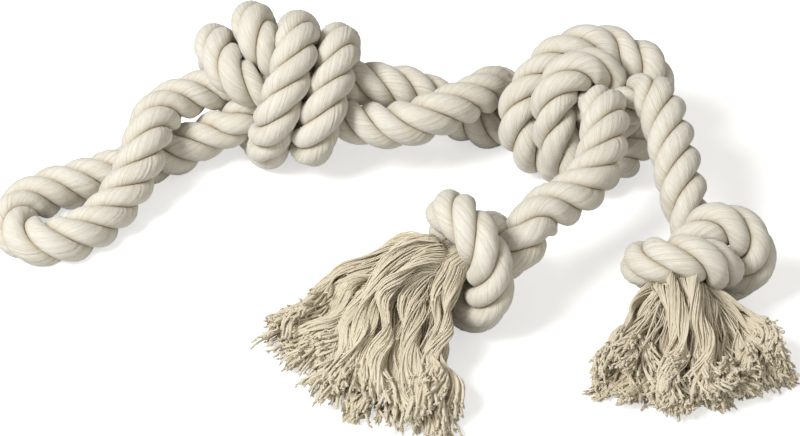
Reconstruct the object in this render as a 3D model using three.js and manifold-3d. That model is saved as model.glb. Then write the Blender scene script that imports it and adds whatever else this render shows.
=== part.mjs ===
import * as THREE from 'three';
import loadManifold from 'manifold-3d';

// Rope toy: one length of three-strand cotton rope, folded in half and knotted.
// Millimetres, Z up. The toy lies on the floor with its handle loop towards -X.

// Driving dimensions.
const ROPE_DIAMETER = 24;
const LAY_LENGTH = 51;
const ROPE_GAP = 0.9;
const STRAND_GAP = 0.6;
const CUT_GAP = 0.3;
const RING_STEP = 7.1;
const TASSEL_WIDTH = 38;
const TASSEL_THICKNESS = 20;

// Rope pressed inside a knot keeps this share of its diameter, and slack rope swells to this one.
const PRESSED = 0.74;
const LOOSE = 1.08;

// Rope's radius is at most this share of the radius it bends to.
const TIGHTEST = 0.8;

// Derived sizes.
const SIZE = ROPE_DIAMETER / 24;
const ROPE_RADIUS = ROPE_DIAMETER / 2;
const FLAT_DEPTH = ROPE_DIAMETER / 10;
const LOCK_ROOT = 0.383 * ROPE_RADIUS;

// Route points are [right, up, near] in a working frame that leans back by LEAN,
// the way the toy is seen from the front. A fourth number is the share of its diameter.
const LEAN = THREE.MathUtils.degToRad(40);
const FLOOR_UP = new THREE.Vector3(0, Math.cos(LEAN), Math.sin(LEAN));

const HANDLE_KNOT_CENTRE = [-73, 87, -30];
const HANDLE_KNOT_TURN = 0;
const HANDLE_KNOT_A = [
  [-20, -4, -14], [-3, 4, -17, PRESSED], [12, 9, -24, PRESSED], [19, 19, -28], [20, 29, -21], [18, 34, -8],
  [17, 33, 8], [14, 22, 26], [10, 0, 33], [5, -20, 26], [0, -28, 6], [-8, -26, -17], [-20, -12, -31],
  [-29, 10, -30], [-34, 20, -16], [-34, 22, 1], [-30, 15, 18], [-20, 2, 26], [-12, -6, 20, PRESSED],
  [0, -10, 14, PRESSED], [20, -14, 12, PRESSED], [40, -21, 12],
];
const HANDLE_KNOT_B = [
  [-26, -22, -12], [-7, -13, -14, PRESSED], [14, -6, -18, PRESSED], [29, 0, -24, PRESSED], [35, 7, -27],
  [34, 15, -20], [32, 18, -6], [32, 15, 10], [33, 6, 25], [31, -12, 27], [27, -20, 15], [21, -23, -3],
  [11, -22, -21], [0, -9, -31], [-8, 12, -32], [-13, 34, -21], [-14, 43, 2], [-12, 33, 21],
  [-9, 14, 21, PRESSED], [-3, 6, 16, PRESSED], [14, 5, 12, PRESSED], [31, 3, 9, PRESSED], [43, 1, 4],
];

const LEG_KNOT_CENTRE = [106, 72, -30];
const LEG_KNOT_TURN = THREE.MathUtils.degToRad(60);
const LEG_KNOT_A = [
  [-60, 8, 17], [-44, 6, 2], [-26, 2, -10, PRESSED], [-10, 2, -14, PRESSED], [6, 0, -18, PRESSED],
  [18, -2, -24, PRESSED], [28, 1, -33], [34, 11, -37], [32, 23, -32], [24, 29, -20], [12, 29, -5],
  [3, 23, 12], [-3, 11, 25], [-7, -5, 32], [-9, -20, 31], [-11, -32, 22], [-10, -31, 8], [-11, -26, -8],
  [-15, -19, -21], [-20, -6, -29],
  [-25, 7, -28], [-29, 14, -18], [-30, 16, -3], [-27, 12, 11], [-20, 4, 15, PRESSED], [-10, -4, 13, PRESSED],
  [4, -7, 9, PRESSED], [18, -3, 3, PRESSED], [30, 7, -4, PRESSED], [41, 17, -10],
];
const LEG_KNOT_B = [
  [-61, -11, 16], [-46, -14, 2], [-26, -14, -8, PRESSED], [-8, -10, -9, PRESSED], [8, -3, -9, PRESSED],
  [19, 7, -12, PRESSED], [27, 16, -13, PRESSED], [30, 20, -7], [28, 20, 5], [24, 15, 16], [20, 5, 24],
  [18, -7, 28], [16, -20, 29], [14, -32, 22], [12, -31, 8], [8, -24, -8], [2, -16, -20], [-4, -6, -28],
  [-8, 6, -29], [-10, 14, -18], [-9, 16, -3], [-6, 13, 7, PRESSED], [0, 7, 9, PRESSED], [10, 3, 8, PRESSED],
  [22, 1, 8, PRESSED], [34, 6, 7, PRESSED], [43, 10, 12],
];

const HANDLE_LOOP = [
  [-124, 84, -36], [-141, 73, -27, LOOSE], [-146, 57, -14, LOOSE], [-148, 43, -4, LOOSE],
  [-153, 30, 1, LOOSE], [-160, 18, 4, LOOSE], [-168, 8, 10, LOOSE], [-180, -3, 21, LOOSE],
  [-198, -8, 28, LOOSE], [-215, -5, 26, LOOSE], [-225, 6, 12, LOOSE], [-221, 18, -1, LOOSE],
  [-207, 25, -8, LOOSE], [-192, 28, -12, LOOSE], [-167, 35, -21, LOOSE], [-151, 41, -28, LOOSE],
  [-140, 46, -33, LOOSE], [-128, 51, -33, LOOSE], [-114, 58, -36],
];
const FRONT_SPAN = [
  [-22, 63, -18], [-3, 61, -14, LOOSE], [15, 65, -8, LOOSE], [29, 74, -14, LOOSE], [44, 80, -28],
];
const BACK_SPAN = [
  [-19, 88, -28], [0, 87, -32, LOOSE], [15, 84, -38, LOOSE], [29, 77, -44, LOOSE], [44, 68, -52],
];
const LEFT_LEG = [
  [116, 73, 28, LOOSE], [115, 58, 38, LOOSE], [113, 40, 46, LOOSE], [105, 25, 53, LOOSE], [88, 17, 63, LOOSE],
  [71, 13, 69, LOOSE],
];
const RIGHT_LEG = [
  [143, 88, 14, LOOSE], [148, 73, 24, LOOSE], [151, 56, 34, LOOSE], [154, 43, 42, LOOSE],
  [156, 30, 48, LOOSE], [157, 18, 54, LOOSE],
];
const LEFT_END_KNOT = [
  [61, 8, 74], [54, 0, 77, PRESSED], [48, -13, 76, PRESSED], [44, -21, 70, PRESSED],
  [40, -19, 61, PRESSED], [36, -10, 55, PRESSED], [34, 1, 57], [33, 8, 70], [36, 5, 87],
  [42, -5, 97], [49, -17, 100], [53, -31, 96], [48, -42, 86], [38, -46, 75], [34, -41, 61],
  [41, -28, 50], [51, -14, 47, PRESSED], [54, -4, 54, PRESSED], [49, -2, 63, PRESSED],
  [43, -5, 71, PRESSED], [37, -12, 79, PRESSED], [29, -18, 80],
];
const RIGHT_END_KNOT = [
  [158, 7, 56, PRESSED], [163, -4, 56, PRESSED], [170, -11, 58, PRESSED], [175, -14, 68, PRESSED],
  [175, -9, 82], [168, -5, 93], [158, -7, 100], [148, -12, 98], [141, -15, 88], [139, -18, 70],
  [143, -20, 52], [154, -22, 42], [168, -25, 42], [182, -27, 50], [189, -22, 64], [192, -12, 74],
  [188, -3, 80], [179, 2, 82], [168, 4, 84], [160, 0, 82, PRESSED], [156, -9, 78, PRESSED],
  [151, -17, 76, PRESSED], [147, -26, 76],
];

// Lock routes are [right, back, height]: steps from the cut end of the rope and height over the floor.
const LEFT_LOCKS = [
  [[-20, -6, 43], [-36, -17, 29], [-47, -40, 14], [-51, -66, 3.5]],
  [[-8, -19, 26], [-11, -37, 17], [-10, -59, 9], [-4, -82, 3.5]],
  [[-21, 13, 27], [-41, 9, 21], [-63, -6, 12], [-84, -28, 3.5]],
];
const RIGHT_LOCKS = [
  [[1, -23, 31], [3, -38, 22], [6, -55, 10], [8, -72, 3.5]],
  [[-20, -10, 14], [-30, -23, 11], [-36, -39, 8], [-42, -56, 3.5]],
  [[17, -10, 15], [34, -19, 10], [45, -34, 7], [51, -51, 3.5]],
];

function knotPoints(list, centre, turn) {
  const side = Math.cos(turn);
  const near = Math.sin(turn);
  return list.map(([x, y, z, share]) => [
    centre[0] + x * side - z * near,
    centre[1] + y,
    centre[2] + x * near + z * side,
    share,
  ]);
}

// The whole route, from the left tassel through the handle to the right tassel.
// A mark names the point of a list where one stretch of rope ends inside a knot.
const route = [];
const marks = {};
function lay(list, reversed, named = {}) {
  const start = route.length;
  const points = reversed ? [...list].reverse() : list;
  for (const [x, y, z, share] of points) {
    route.push([x * SIZE, y * SIZE, z * SIZE, share || 1]);
  }
  for (const [name, place] of Object.entries(named)) {
    marks[name] = start + (reversed ? list.length - 1 - place : place);
  }
}
const handleKnotA = knotPoints(HANDLE_KNOT_A, HANDLE_KNOT_CENTRE, HANDLE_KNOT_TURN);
const handleKnotB = knotPoints(HANDLE_KNOT_B, HANDLE_KNOT_CENTRE, HANDLE_KNOT_TURN);
const legKnotA = knotPoints(LEG_KNOT_A, LEG_KNOT_CENTRE, LEG_KNOT_TURN);
const legKnotB = knotPoints(LEG_KNOT_B, LEG_KNOT_CENTRE, LEG_KNOT_TURN);
lay(LEFT_END_KNOT, true, { leftEnd: 2 });
lay(LEFT_LEG, true);
lay(legKnotB, true, { legKnotBOut: 24, legKnotBIn: 2 });
lay(BACK_SPAN, true);
lay(handleKnotB, true, { handleKnotBOut: 20, handleKnotBIn: 1 });
lay(HANDLE_LOOP, true);
lay(handleKnotA, false, { handleKnotAIn: 1, handleKnotAOut: 20 });
lay(FRONT_SPAN, false);
lay(legKnotA, false, { legKnotAIn: 2, legKnotAOut: 27 });
lay(RIGHT_LEG, false);
lay(RIGHT_END_KNOT, false, { rightEnd: 2 });

// A smooth line through the route points, in even steps.
function smoothLine(points, step) {
  const spline = new THREE.CatmullRomCurve3(
    points.map(([x, y, z]) => new THREE.Vector3(x, y, z)), false, 'catmullrom', 0.5);
  const fine = [];
  const last = points.length - 1;
  for (let i = 0; i <= last * 12; i++) {
    const at = i / 12;
    const from = Math.min(Math.floor(at), last - 1);
    const share = points[from][3] + (points[from + 1][3] - points[from][3]) * (at - from);
    fine.push({ at, share, place: spline.getPoint(at / last) });
  }
  const run = [0];
  for (let i = 1; i < fine.length; i++) {
    run.push(run[i - 1] + fine[i].place.distanceTo(fine[i - 1].place));
  }
  const total = run[run.length - 1];
  const count = Math.round(total / step);
  const line = [];
  let k = 0;
  for (let i = 0; i <= count; i++) {
    const want = total * i / count;
    while (k < fine.length - 2 && run[k + 1] < want) k++;
    const t = Math.min(1, (want - run[k]) / (run[k + 1] - run[k]));
    line.push({
      at: fine[k].at + (fine[k + 1].at - fine[k].at) * t,
      share: fine[k].share + (fine[k + 1].share - fine[k].share) * t,
      place: fine[k].place.clone().lerp(fine[k + 1].place, t),
    });
  }
  return line;
}

// Lets the line settle like rope: turns push apart, bends ease, the floor carries it.
const SETTLE_STEP = 5;
const PHASES = [
  { rounds: 300, hold: 0.02, ease: 0.1, push: 0.25 },
  { rounds: 150, hold: 0.004, ease: 0.04, push: 0.3 },
  { rounds: 200, hold: 0, ease: 0.03, push: 0.35 },
];
const line = smoothLine(route, SETTLE_STEP * SIZE);
const radius = line.map(({ share }) => share * ROPE_RADIUS);
const apart = Math.ceil(1.8 * ROPE_DIAMETER / (SETTLE_STEP * SIZE));
function closePairs(places) {
  const pairs = [];
  const reach = 1.9 * ROPE_DIAMETER;
  for (let i = 0; i < places.length; i++) {
    for (let j = i + apart; j < places.length; j++) {
      if (places[i].distanceToSquared(places[j]) < reach * reach) pairs.push([i, j]);
    }
  }
  return pairs;
}
function settle() {
  const home = line.map(({ place }) => place.clone());
  let places = home.map((p) => p.clone());
  const count = places.length;
  const step = home.reduce((sum, p, i) => (i ? sum + p.distanceTo(home[i - 1]) : 0), 0) / (count - 1);
  const span = new THREE.Vector3();
  let pairs = [];
  let round = 0;
  for (const phase of PHASES) {
    for (let r = 0; r < phase.rounds; r++) {
      const next = places.map((p) => p.clone());
      for (let i = 1; i < count - 1; i++) {
        span.addVectors(places[i - 1], places[i + 1]).multiplyScalar(0.5).sub(places[i]);
        next[i].addScaledVector(span, phase.ease);
      }
      for (let i = 0; i < count; i++) {
        next[i].lerp(home[i], phase.hold);
      }
      for (const reach of [1, 2, 3]) {
        const shifts = [];
        for (let i = reach; i < count - reach; i++) {
          span.addVectors(next[i - reach], next[i + reach]).multiplyScalar(0.5).sub(next[i]);
          const most = (reach * step) ** 2 / (2.8 * ROPE_RADIUS);
          const share = Math.max(0, 1 - most / Math.max(span.length(), 1e-9)) * 0.4;
          shifts.push(span.clone().multiplyScalar(share));
        }
        shifts.forEach((shift, n) => {
          next[n + reach].add(shift);
          next[n].addScaledVector(shift, -0.5);
          next[n + 2 * reach].addScaledVector(shift, -0.5);
        });
      }
      if (round % 10 === 0) pairs = closePairs(next);
      const moves = next.map(() => new THREE.Vector3());
      for (const [i, j] of pairs) {
        span.subVectors(next[j], next[i]);
        const length = Math.max(span.length(), 1e-9);
        const short = radius[i] + radius[j] + ROPE_GAP - length;
        if (short > 0) {
          span.multiplyScalar(short * phase.push / length);
          moves[i].sub(span);
          moves[j].add(span);
        }
      }
      for (let i = 0; i < count; i++) {
        moves[i].clampLength(0, 1.5 * SIZE);
        next[i].add(moves[i]);
        const low = radius[i] - next[i].dot(FLOOR_UP);
        if (low > 0) next[i].addScaledVector(FLOOR_UP, low);
      }
      places = next;
      round++;
    }
  }
  return places;
}
const settled = settle();

let leastGap = Infinity;
for (const [i, j] of closePairs(settled)) {
  leastGap = Math.min(leastGap, settled[i].distanceTo(settled[j]) - radius[i] - radius[j]);
}
// Rope that could not be moved clear is drawn a little thinner.
const thinner = Math.max(0.1, (0.6 - leastGap) / 2);
console.log('least gap between turns of rope', (leastGap + 2 * thinner).toFixed(2), 'mm');

// From the working frame to Z up, resting with flats cut on the floor.
const upright = settled.map((p) => new THREE.Vector3(
  p.x,
  p.y * Math.sin(LEAN) - p.z * Math.cos(LEAN),
  p.y * Math.cos(LEAN) + p.z * Math.sin(LEAN) - FLAT_DEPTH));

// Even rings along the settled rope: place, direction and two square-on directions.
const curve = new THREE.CatmullRomCurve3(upright, false, 'catmullrom', 0.5);
const FINE = 4;
const rings = [];
for (let i = 0; i <= (upright.length - 1) * FINE; i++) {
  const t = i / FINE / (upright.length - 1);
  const from = Math.min(Math.floor(i / FINE), upright.length - 2);
  const part = i / FINE - from;
  rings.push({
    place: curve.getPoint(t),
    along: curve.getTangent(t),
    at: line[from].at + (line[from + 1].at - line[from].at) * part,
    radius: radius[from] + (radius[from + 1] - radius[from]) * part - thinner,
    run: 0,
  });
}
let across = new THREE.Vector3(0, 0, 1).cross(rings[0].along).normalize();
rings.forEach((ring, i) => {
  if (i) ring.run = rings[i - 1].run + ring.place.distanceTo(rings[i - 1].place);
  across.addScaledVector(ring.along, -across.dot(ring.along)).normalize();
  ring.across = across.clone();
  ring.beside = new THREE.Vector3().crossVectors(ring.along, across);
});
// Rope that bends hard is pressed thinner, and widens again slowly on both sides.
const REACH = 5;
for (let i = REACH; i < rings.length - REACH; i++) {
  const before = rings[i].place.clone().sub(rings[i - REACH].place);
  const after = rings[i + REACH].place.clone().sub(rings[i].place);
  const chord = before.length() + after.length();
  const bend = chord / 2 / Math.max(before.angleTo(after), 1e-6);
  rings[i].radius = Math.min(rings[i].radius, TIGHTEST * bend);
}
const widen = (ring, next) => {
  ring.radius = Math.min(ring.radius, next.radius + 0.25 * Math.abs(next.run - ring.run));
};
for (let i = 1; i < rings.length; i++) widen(rings[i], rings[i - 1]);
for (let i = rings.length - 2; i >= 0; i--) widen(rings[i], rings[i + 1]);

// The handle knot's lowest rope stands over the origin.
const lowest = ({ place, radius: thick }) => place.z - 0.9 * thick;
const footRing = rings
  .filter(({ at }) => at >= marks.handleKnotAIn && at <= marks.handleKnotAOut)
  .reduce((low, ring) => (lowest(ring) < lowest(low) ? ring : low));
const origin = new THREE.Vector3(footRing.place.x, footRing.place.y, 0);
for (const ring of rings) ring.place.sub(origin);

function ringAt(run) {
  let k = rings.findIndex((ring) => ring.run >= run);
  if (k < 0) k = rings.length - 1;
  const b = rings[Math.max(k, 1)];
  const a = rings[Math.max(k, 1) - 1];
  const t = THREE.MathUtils.clamp((run - a.run) / (b.run - a.run), 0, 1);
  return {
    place: a.place.clone().lerp(b.place, t),
    along: a.along.clone().lerp(b.along, t).normalize(),
    across: a.across.clone().lerp(b.across, t).normalize(),
    beside: a.beside.clone().lerp(b.beside, t).normalize(),
    radius: a.radius + (b.radius - a.radius) * t,
    run,
  };
}
const runAt = (mark) => rings.find((ring) => ring.at >= mark).run;

// Strand 1 faces the floor above the origin, so that its flat is there.
const footDown = new THREE.Vector3(0, 0, -1);
const footAngle = Math.atan2(footDown.dot(footRing.beside), footDown.dot(footRing.across));
const layAngle = (run) => footAngle + (run - footRing.run) * 2 * Math.PI / LAY_LENGTH;

// Outline of one strand, square to the rope: a third of the circle with a rounded back.
function strandOutline(ring, strand) {
  const angle = layAngle(ring.run) + strand * 2 * Math.PI / 3;
  const out = ring.across.clone().multiplyScalar(Math.cos(angle))
    .addScaledVector(ring.beside, Math.sin(angle));
  const side = ring.beside.clone().multiplyScalar(Math.cos(angle))
    .addScaledVector(ring.across, -Math.sin(angle));
  const half = STRAND_GAP / 2;
  const flank = 0.8 * ring.radius;
  const sin60 = Math.sin(Math.PI / 3);
  const flankOut = flank * 0.5 + half * sin60;
  const flankSide = flank * sin60 - half * 0.5;
  const backOut = 0.985 * ring.radius * Math.cos(0.42);
  const backSide = 0.985 * ring.radius * Math.sin(0.42);
  const flat = [
    [half / sin60, 0], [flankOut, -flankSide], [backOut, -backSide],
    [backOut, backSide], [flankOut, flankSide],
  ];
  return flat.map(([x, y]) => ring.place.clone().addScaledVector(out, x).addScaledVector(side, y));
}

// Rounded turns the diagonals of a strand's back and one flank the way its lay bulges.
function skin(outlines, rounded) {
  const count = outlines[0].length;
  const corners = outlines.flat().flatMap((p) => [p.x, p.y, p.z]);
  const faces = [];
  for (let k = 0; k + 1 < outlines.length; k++) {
    for (let i = 0; i < count; i++) {
      const a = k * count + i;
      const b = k * count + (i + 1) % count;
      const c = b + count;
      const d = a + count;
      if (rounded && (i === 2 || i === count - 1)) faces.push(a, b, d, b, c, d);
      else faces.push(a, b, c, a, c, d);
    }
  }
  const end = (outlines.length - 1) * count;
  for (let i = 1; i + 1 < count; i++) {
    faces.push(0, i + 1, i);
    faces.push(end, end + i, end + i + 1);
  }
  const geometry = new THREE.BufferGeometry();
  geometry.setAttribute('position', new THREE.Float32BufferAttribute(corners, 3));
  geometry.setIndex(faces);
  return geometry;
}

// Cuts a flat where a piece reaches below the floor.
const manifold = await loadManifold();
manifold.setup();
function cutAtFloor(geometry) {
  geometry.computeBoundingBox();
  if (geometry.boundingBox.min.z > -0.01) return geometry;
  const solid = new manifold.Manifold(new manifold.Mesh({
    numProp: 3,
    vertProperties: new Float32Array(geometry.attributes.position.array),
    triVerts: new Uint32Array(geometry.index.array),
  }));
  const mesh = solid.trimByPlane([0, 0, 1], 0).getMesh();
  const cut = new THREE.BufferGeometry();
  cut.setAttribute('position', new THREE.Float32BufferAttribute(mesh.vertProperties, 3));
  cut.setIndex(Array.from(mesh.triVerts));
  return cut;
}

const group = new THREE.Group();
group.name = 'rope_dog_toy';
function addPiece(name, geometry, colour) {
  const piece = cutAtFloor(geometry);
  piece.computeVertexNormals();
  const material = new THREE.MeshStandardMaterial({ color: colour, roughness: 0.95, metalness: 0 });
  material.name = name + '_cotton';
  const mesh = new THREE.Mesh(piece, material);
  mesh.name = name;
  group.add(mesh);
}

const CREAM = 0xe4dfd0;
const BEIGE = 0xd6cab0;
function addStretch(name, from, to) {
  const start = from + CUT_GAP / 2;
  const end = to - CUT_GAP / 2;
  const steps = Math.max(4, Math.round((end - start) / (RING_STEP * SIZE)));
  for (let strand = 0; strand < 3; strand++) {
    const outlines = [];
    for (let i = 0; i <= steps; i++) {
      outlines.push(strandOutline(ringAt(start + (end - start) * i / steps), strand));
    }
    addPiece(name + '_strand_' + (strand + 1), skin(outlines, true), CREAM);
  }
  console.log(name, 'rope length', (to - from).toFixed(0), 'mm');
}
const ropeEnd = rings[rings.length - 1].run;
addStretch('left_end_knot', 0, runAt(marks.leftEnd));
addStretch('left_leg', runAt(marks.leftEnd), runAt(marks.legKnotBOut));
addStretch('leg_knot_inner', runAt(marks.legKnotBOut), runAt(marks.legKnotBIn));
addStretch('back_span', runAt(marks.legKnotBIn), runAt(marks.handleKnotBOut));
addStretch('handle_knot_right', runAt(marks.handleKnotBOut), runAt(marks.handleKnotBIn));
addStretch('handle_loop', runAt(marks.handleKnotBIn), runAt(marks.handleKnotAIn));
addStretch('handle_knot_left', runAt(marks.handleKnotAIn), runAt(marks.handleKnotAOut));
addStretch('front_span', runAt(marks.handleKnotAOut), runAt(marks.legKnotAIn));
addStretch('leg_knot_outer', runAt(marks.legKnotAIn), runAt(marks.legKnotAOut));
addStretch('right_leg', runAt(marks.legKnotAOut), runAt(marks.rightEnd));
addStretch('right_end_knot', runAt(marks.rightEnd), ropeEnd);
console.log('whole rope', ropeEnd.toFixed(0), 'mm');

// Each lock grows from the strand end that lies nearest to its own way.
function strandRoot(end, outward, strand) {
  const angle = layAngle(end.run) + strand * 2 * Math.PI / 3;
  const out = end.across.clone().multiplyScalar(Math.cos(angle))
    .addScaledVector(end.beside, Math.sin(angle));
  return end.place.clone().addScaledVector(out, 0.53 * end.radius).addScaledVector(outward, CUT_GAP);
}
function lockPoint(end, [right, back, height]) {
  return new THREE.Vector3(end.place.x + right * SIZE, end.place.y + back * SIZE, height * SIZE);
}
const ORDERS = [[0, 1, 2], [1, 2, 0], [2, 0, 1], [0, 2, 1], [2, 1, 0], [1, 0, 2]];
function rootOrder(end, outward, locks) {
  const far = (order) => order.reduce((sum, strand, i) => (
    sum + lockPoint(end, locks[i][0]).distanceToSquared(strandRoot(end, outward, strand))), 0);
  return ORDERS.reduce((best, order) => (far(order) < far(best) ? order : best));
}

// A lock is one strand's yarn, opened out and lying down towards the floor.
function addLock(name, end, outward, root, steps) {
  const path = [root, root.clone().addScaledVector(outward, 5 * SIZE)];
  for (const step of steps) path.push(lockPoint(end, step));
  const lockLine = new THREE.CatmullRomCurve3(path, false, 'centripetal');
  const outlines = [];
  const rows = 9;
  for (let k = 0; k <= rows; k++) {
    const t = k / rows;
    const place = lockLine.getPointAt(t);
    const along = k === 0 ? outward.clone() : lockLine.getTangentAt(t);
    const side = new THREE.Vector3(0, 0, 1).cross(along).normalize();
    const top = along.clone().cross(side);
    const opened = THREE.MathUtils.smoothstep(Math.sqrt(t), 0.05, 0.97);
    const wide = LOCK_ROOT + (TASSEL_WIDTH / 2 - LOCK_ROOT) * opened;
    const thick = LOCK_ROOT + (TASSEL_THICKNESS / 2 - LOCK_ROOT) * opened;
    place.z += (thick - LOCK_ROOT) * Math.sin(Math.PI / 3);
    const outline = [];
    for (let i = 0; i < 12; i++) {
      const turn = i * Math.PI / 6;
      const groove = i % 2 ? 0.84 : 1;
      outline.push(place.clone()
        .addScaledVector(side, wide * groove * Math.cos(turn))
        .addScaledVector(top, thick * groove * Math.sin(turn)));
    }
    outlines.push(outline);
  }
  addPiece(name, skin(outlines, false), BEIGE);
}
function addTassel(name, end, outward, locks) {
  const order = rootOrder(end, outward, locks);
  locks.forEach((steps, i) => {
    addLock(name + '_lock_' + (i + 1), end, outward, strandRoot(end, outward, order[i]), steps);
  });
}
const leftEnd = rings[0];
const rightEnd = rings[rings.length - 1];
addTassel('left_tassel', leftEnd, leftEnd.along.clone().negate(), LEFT_LOCKS);
addTassel('right_tassel', rightEnd, rightEnd.along, RIGHT_LOCKS);

export default group;
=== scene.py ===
import math

import bpy
import numpy as np
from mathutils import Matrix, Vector


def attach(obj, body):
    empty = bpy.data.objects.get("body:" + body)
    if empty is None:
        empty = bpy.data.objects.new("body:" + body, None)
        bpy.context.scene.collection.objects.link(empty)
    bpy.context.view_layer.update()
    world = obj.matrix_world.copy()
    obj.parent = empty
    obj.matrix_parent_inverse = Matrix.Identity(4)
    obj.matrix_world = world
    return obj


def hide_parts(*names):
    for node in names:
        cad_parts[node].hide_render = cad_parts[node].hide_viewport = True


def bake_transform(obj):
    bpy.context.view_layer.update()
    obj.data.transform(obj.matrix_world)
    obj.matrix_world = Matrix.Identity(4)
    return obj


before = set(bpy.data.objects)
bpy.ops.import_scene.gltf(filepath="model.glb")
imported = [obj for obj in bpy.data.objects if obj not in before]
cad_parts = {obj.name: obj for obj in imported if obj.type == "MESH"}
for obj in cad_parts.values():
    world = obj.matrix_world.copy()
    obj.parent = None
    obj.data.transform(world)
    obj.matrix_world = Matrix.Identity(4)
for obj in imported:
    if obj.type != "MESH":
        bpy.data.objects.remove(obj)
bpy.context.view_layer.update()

# Rope toy: one length of three-strand cotton rope, folded in half and knotted. Metres, Z up.

# Driving sizes. PRESSED and LOOSE are shares of the rope's diameter, TIGHTEST and TIGHT_CORE shares
# of a bend's radius, and GROOVE_DEPTH, FULLNESS and CORE_FILL shares of the rope's radius.
ROPE_DIAMETER = 0.024
LAY_LENGTH = 0.051
ROPE_GAP = 0.0009
PRESSED = 0.74
LOOSE = 1.08
TIGHTEST = 0.95
TIGHT_CORE = 0.8
YARN_WIDTH = 0.001
YARN_RISE = 0.0003
GROOVE_DEPTH = 0.36
FULLNESS = 1.06
TASSEL_WIDTH = 0.038
TASSEL_THICKNESS = 0.02
LOOSE_YARN_RADIUS = 0.00043
YARNS_PER_LOCK = 600
CLUMPS_PER_LOCK = 13
STRAYS_PER_LOCK = 2
BUNDLE_TURN = 0.06
CORE_FILL = 0.14

ROPE_RADIUS = ROPE_DIAMETER / 2
FLAT_DEPTH = ROPE_DIAMETER / 10
LOCK_ROOT = 0.383 * ROPE_RADIUS
LEAN = math.radians(40)
FLOOR_UP = np.array([0, math.cos(LEAN), math.sin(LEAN)])

# Route points are (right, up, near) in a working frame that leans back by LEAN,
# the way the toy is seen from the front. A fourth number is the share of its diameter.
HANDLE_KNOT_CENTRE = (-.073, .087, -.03)
HANDLE_KNOT_TURN = 0
HANDLE_KNOT_A = [
    (-.02, -.004, -.014), (-.003, .004, -.017, PRESSED), (.012, .009, -.024, PRESSED),
    (.019, .019, -.028), (.02, .029, -.021), (.018, .034, -.008), (.017, .033, .008),
    (.014, .022, .026), (.01, 0, .033), (.005, -.02, .026), (0, -.028, .006),
    (-.008, -.026, -.017), (-.02, -.012, -.031), (-.029, .01, -.03), (-.034, .02, -.016),
    (-.034, .022, .001), (-.03, .015, .018), (-.02, .002, .026), (-.012, -.006, .02, PRESSED),
    (0, -.01, .014, PRESSED), (.02, -.014, .012, PRESSED), (.04, -.021, .012),
]
HANDLE_KNOT_B = [
    (-.026, -.022, -.012), (-.007, -.013, -.014, PRESSED), (.014, -.006, -.018, PRESSED),
    (.029, 0, -.024, PRESSED), (.035, .007, -.027), (.034, .015, -.02), (.032, .018, -.006),
    (.032, .015, .01), (.033, .006, .025), (.031, -.012, .027), (.027, -.02, .015),
    (.021, -.023, -.003), (.011, -.022, -.021), (0, -.009, -.031), (-.008, .012, -.032),
    (-.013, .034, -.021), (-.014, .043, .002), (-.012, .033, .021), (-.009, .014, .021, PRESSED),
    (-.003, .006, .016, PRESSED), (.014, .005, .012, PRESSED), (.031, .003, .009, PRESSED),
    (.043, .001, .004),
]
LEG_KNOT_CENTRE = (.106, .072, -.03)
LEG_KNOT_TURN = math.radians(60)
LEG_KNOT_A = [
    (-.06, .008, .017), (-.044, .006, .002), (-.026, .002, -.01, PRESSED),
    (-.01, .002, -.014, PRESSED), (.006, 0, -.018, PRESSED), (.018, -.002, -.024, PRESSED),
    (.028, .001, -.033), (.034, .011, -.037), (.032, .023, -.032), (.024, .029, -.02),
    (.012, .029, -.005), (.003, .023, .012), (-.003, .011, .025), (-.007, -.005, .032),
    (-.009, -.02, .031), (-.011, -.032, .022), (-.01, -.031, .008), (-.011, -.026, -.008),
    (-.015, -.019, -.021), (-.02, -.006, -.029), (-.025, .007, -.028), (-.029, .014, -.018),
    (-.03, .016, -.003), (-.027, .012, .011), (-.02, .004, .015, PRESSED),
    (-.01, -.004, .013, PRESSED), (.004, -.007, .009, PRESSED), (.018, -.003, .003, PRESSED),
    (.03, .007, -.004, PRESSED), (.041, .017, -.01),
]
LEG_KNOT_B = [
    (-.061, -.011, .016), (-.046, -.014, .002), (-.026, -.014, -.008, PRESSED),
    (-.008, -.01, -.009, PRESSED), (.008, -.003, -.009, PRESSED), (.019, .007, -.012, PRESSED),
    (.027, .016, -.013, PRESSED), (.03, .02, -.007), (.028, .02, .005), (.024, .015, .016),
    (.02, .005, .024), (.018, -.007, .028), (.016, -.02, .029), (.014, -.032, .022),
    (.012, -.031, .008), (.008, -.024, -.008), (.002, -.016, -.02), (-.004, -.006, -.028),
    (-.008, .006, -.029), (-.01, .014, -.018), (-.009, .016, -.003), (-.006, .013, .007, PRESSED),
    (0, .007, .009, PRESSED), (.01, .003, .008, PRESSED), (.022, .001, .008, PRESSED),
    (.034, .006, .007, PRESSED), (.043, .01, .012),
]
HANDLE_LOOP = [
    (-.124, .084, -.036), (-.141, .073, -.027, LOOSE), (-.146, .057, -.014, LOOSE),
    (-.148, .043, -.004, LOOSE), (-.153, .03, .001, LOOSE), (-.16, .018, .004, LOOSE),
    (-.168, .008, .01, LOOSE), (-.18, -.003, .021, LOOSE), (-.198, -.008, .028, LOOSE),
    (-.215, -.005, .026, LOOSE), (-.225, .006, .012, LOOSE), (-.221, .018, -.001, LOOSE),
    (-.207, .025, -.008, LOOSE), (-.192, .028, -.012, LOOSE), (-.167, .035, -.021, LOOSE),
    (-.151, .041, -.028, LOOSE), (-.14, .046, -.033, LOOSE), (-.128, .051, -.033, LOOSE),
    (-.114, .058, -.036),
]
FRONT_SPAN = [
    (-.022, .063, -.018), (-.003, .061, -.014, LOOSE), (.015, .065, -.008, LOOSE),
    (.029, .074, -.014, LOOSE), (.044, .08, -.028),
]
BACK_SPAN = [
    (-.019, .088, -.028), (0, .087, -.032, LOOSE), (.015, .084, -.038, LOOSE),
    (.029, .077, -.044, LOOSE), (.044, .068, -.052),
]
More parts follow.
